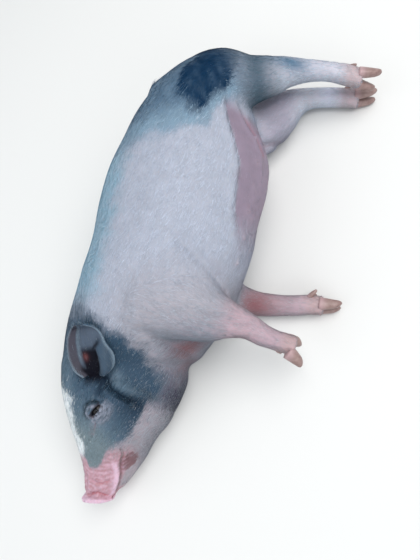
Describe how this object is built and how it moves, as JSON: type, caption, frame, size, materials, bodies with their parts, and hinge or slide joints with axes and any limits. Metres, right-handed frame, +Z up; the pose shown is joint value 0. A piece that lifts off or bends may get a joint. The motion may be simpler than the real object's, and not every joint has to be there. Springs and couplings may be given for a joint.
{
  "type": "miniature pig",
  "caption": "Life-size model of a miniature pig lying on its right side with its legs stretched out, white with a slate grey head and rump, in a short bristle coat",
  "frame": {"origin": "middle of the model's outline seen from above, on the surface it lies on", "axes": "Z up; +Y from the snout toward the rump; +X from the back toward the legs; the left flank is up"},
  "size_m": [0.484, 0.6468, 0.193],
  "materials": {
    "white_coat": "short white bristles over pale pink skin",
    "grey_coat": "short slate grey bristles over dark skin",
    "bare_skin": "bare pink skin, satin",
    "horn": "pinkish horn, satin",
    "eye": "wet and glossy"
  },
  "bodies": {
    "root": {"belly": "white_coat", "chest": "white_coat", "ear_left": "grey_coat", "ear_right": "grey_coat", "eye_left": "eye", "eye_right": "eye", "foreleg_left_claw_inner": "horn", "foreleg_left_claw_outer": "horn", "foreleg_left_dewclaw_inner": "horn", "foreleg_left_dewclaw_outer": "horn", "foreleg_left_foot": "white_coat", "foreleg_left_upper": "white_coat", "foreleg_right_claw_inner": "horn", "foreleg_right_claw_outer": "horn", "foreleg_right_dewclaw_inner": "horn", "foreleg_right_dewclaw_outer": "horn", "foreleg_right_foot": "white_coat", "foreleg_right_upper": "white_coat", "head": "grey_coat", "hindleg_left_claw_inner": "horn", "hindleg_left_claw_outer": "horn", "hindleg_left_dewclaw_inner": "horn", "hindleg_left_dewclaw_outer": "horn", "hindleg_left_foot": "white_coat", "hindleg_left_shank": "white_coat", "hindleg_left_thigh": "white_coat", "hindleg_right_claw_inner": "horn", "hindleg_right_claw_outer": "horn", "hindleg_right_dewclaw_inner": "horn", "hindleg_right_dewclaw_outer": "horn", "hindleg_right_foot": "white_coat", "hindleg_right_shank": "white_coat", "hindleg_right_thigh": "white_coat", "lower_jaw": "bare_skin", "neck": "grey_coat", "rump": "white_coat", "snout": "bare_skin", "tail": "white_coat"}
  },
  "joints": []
}
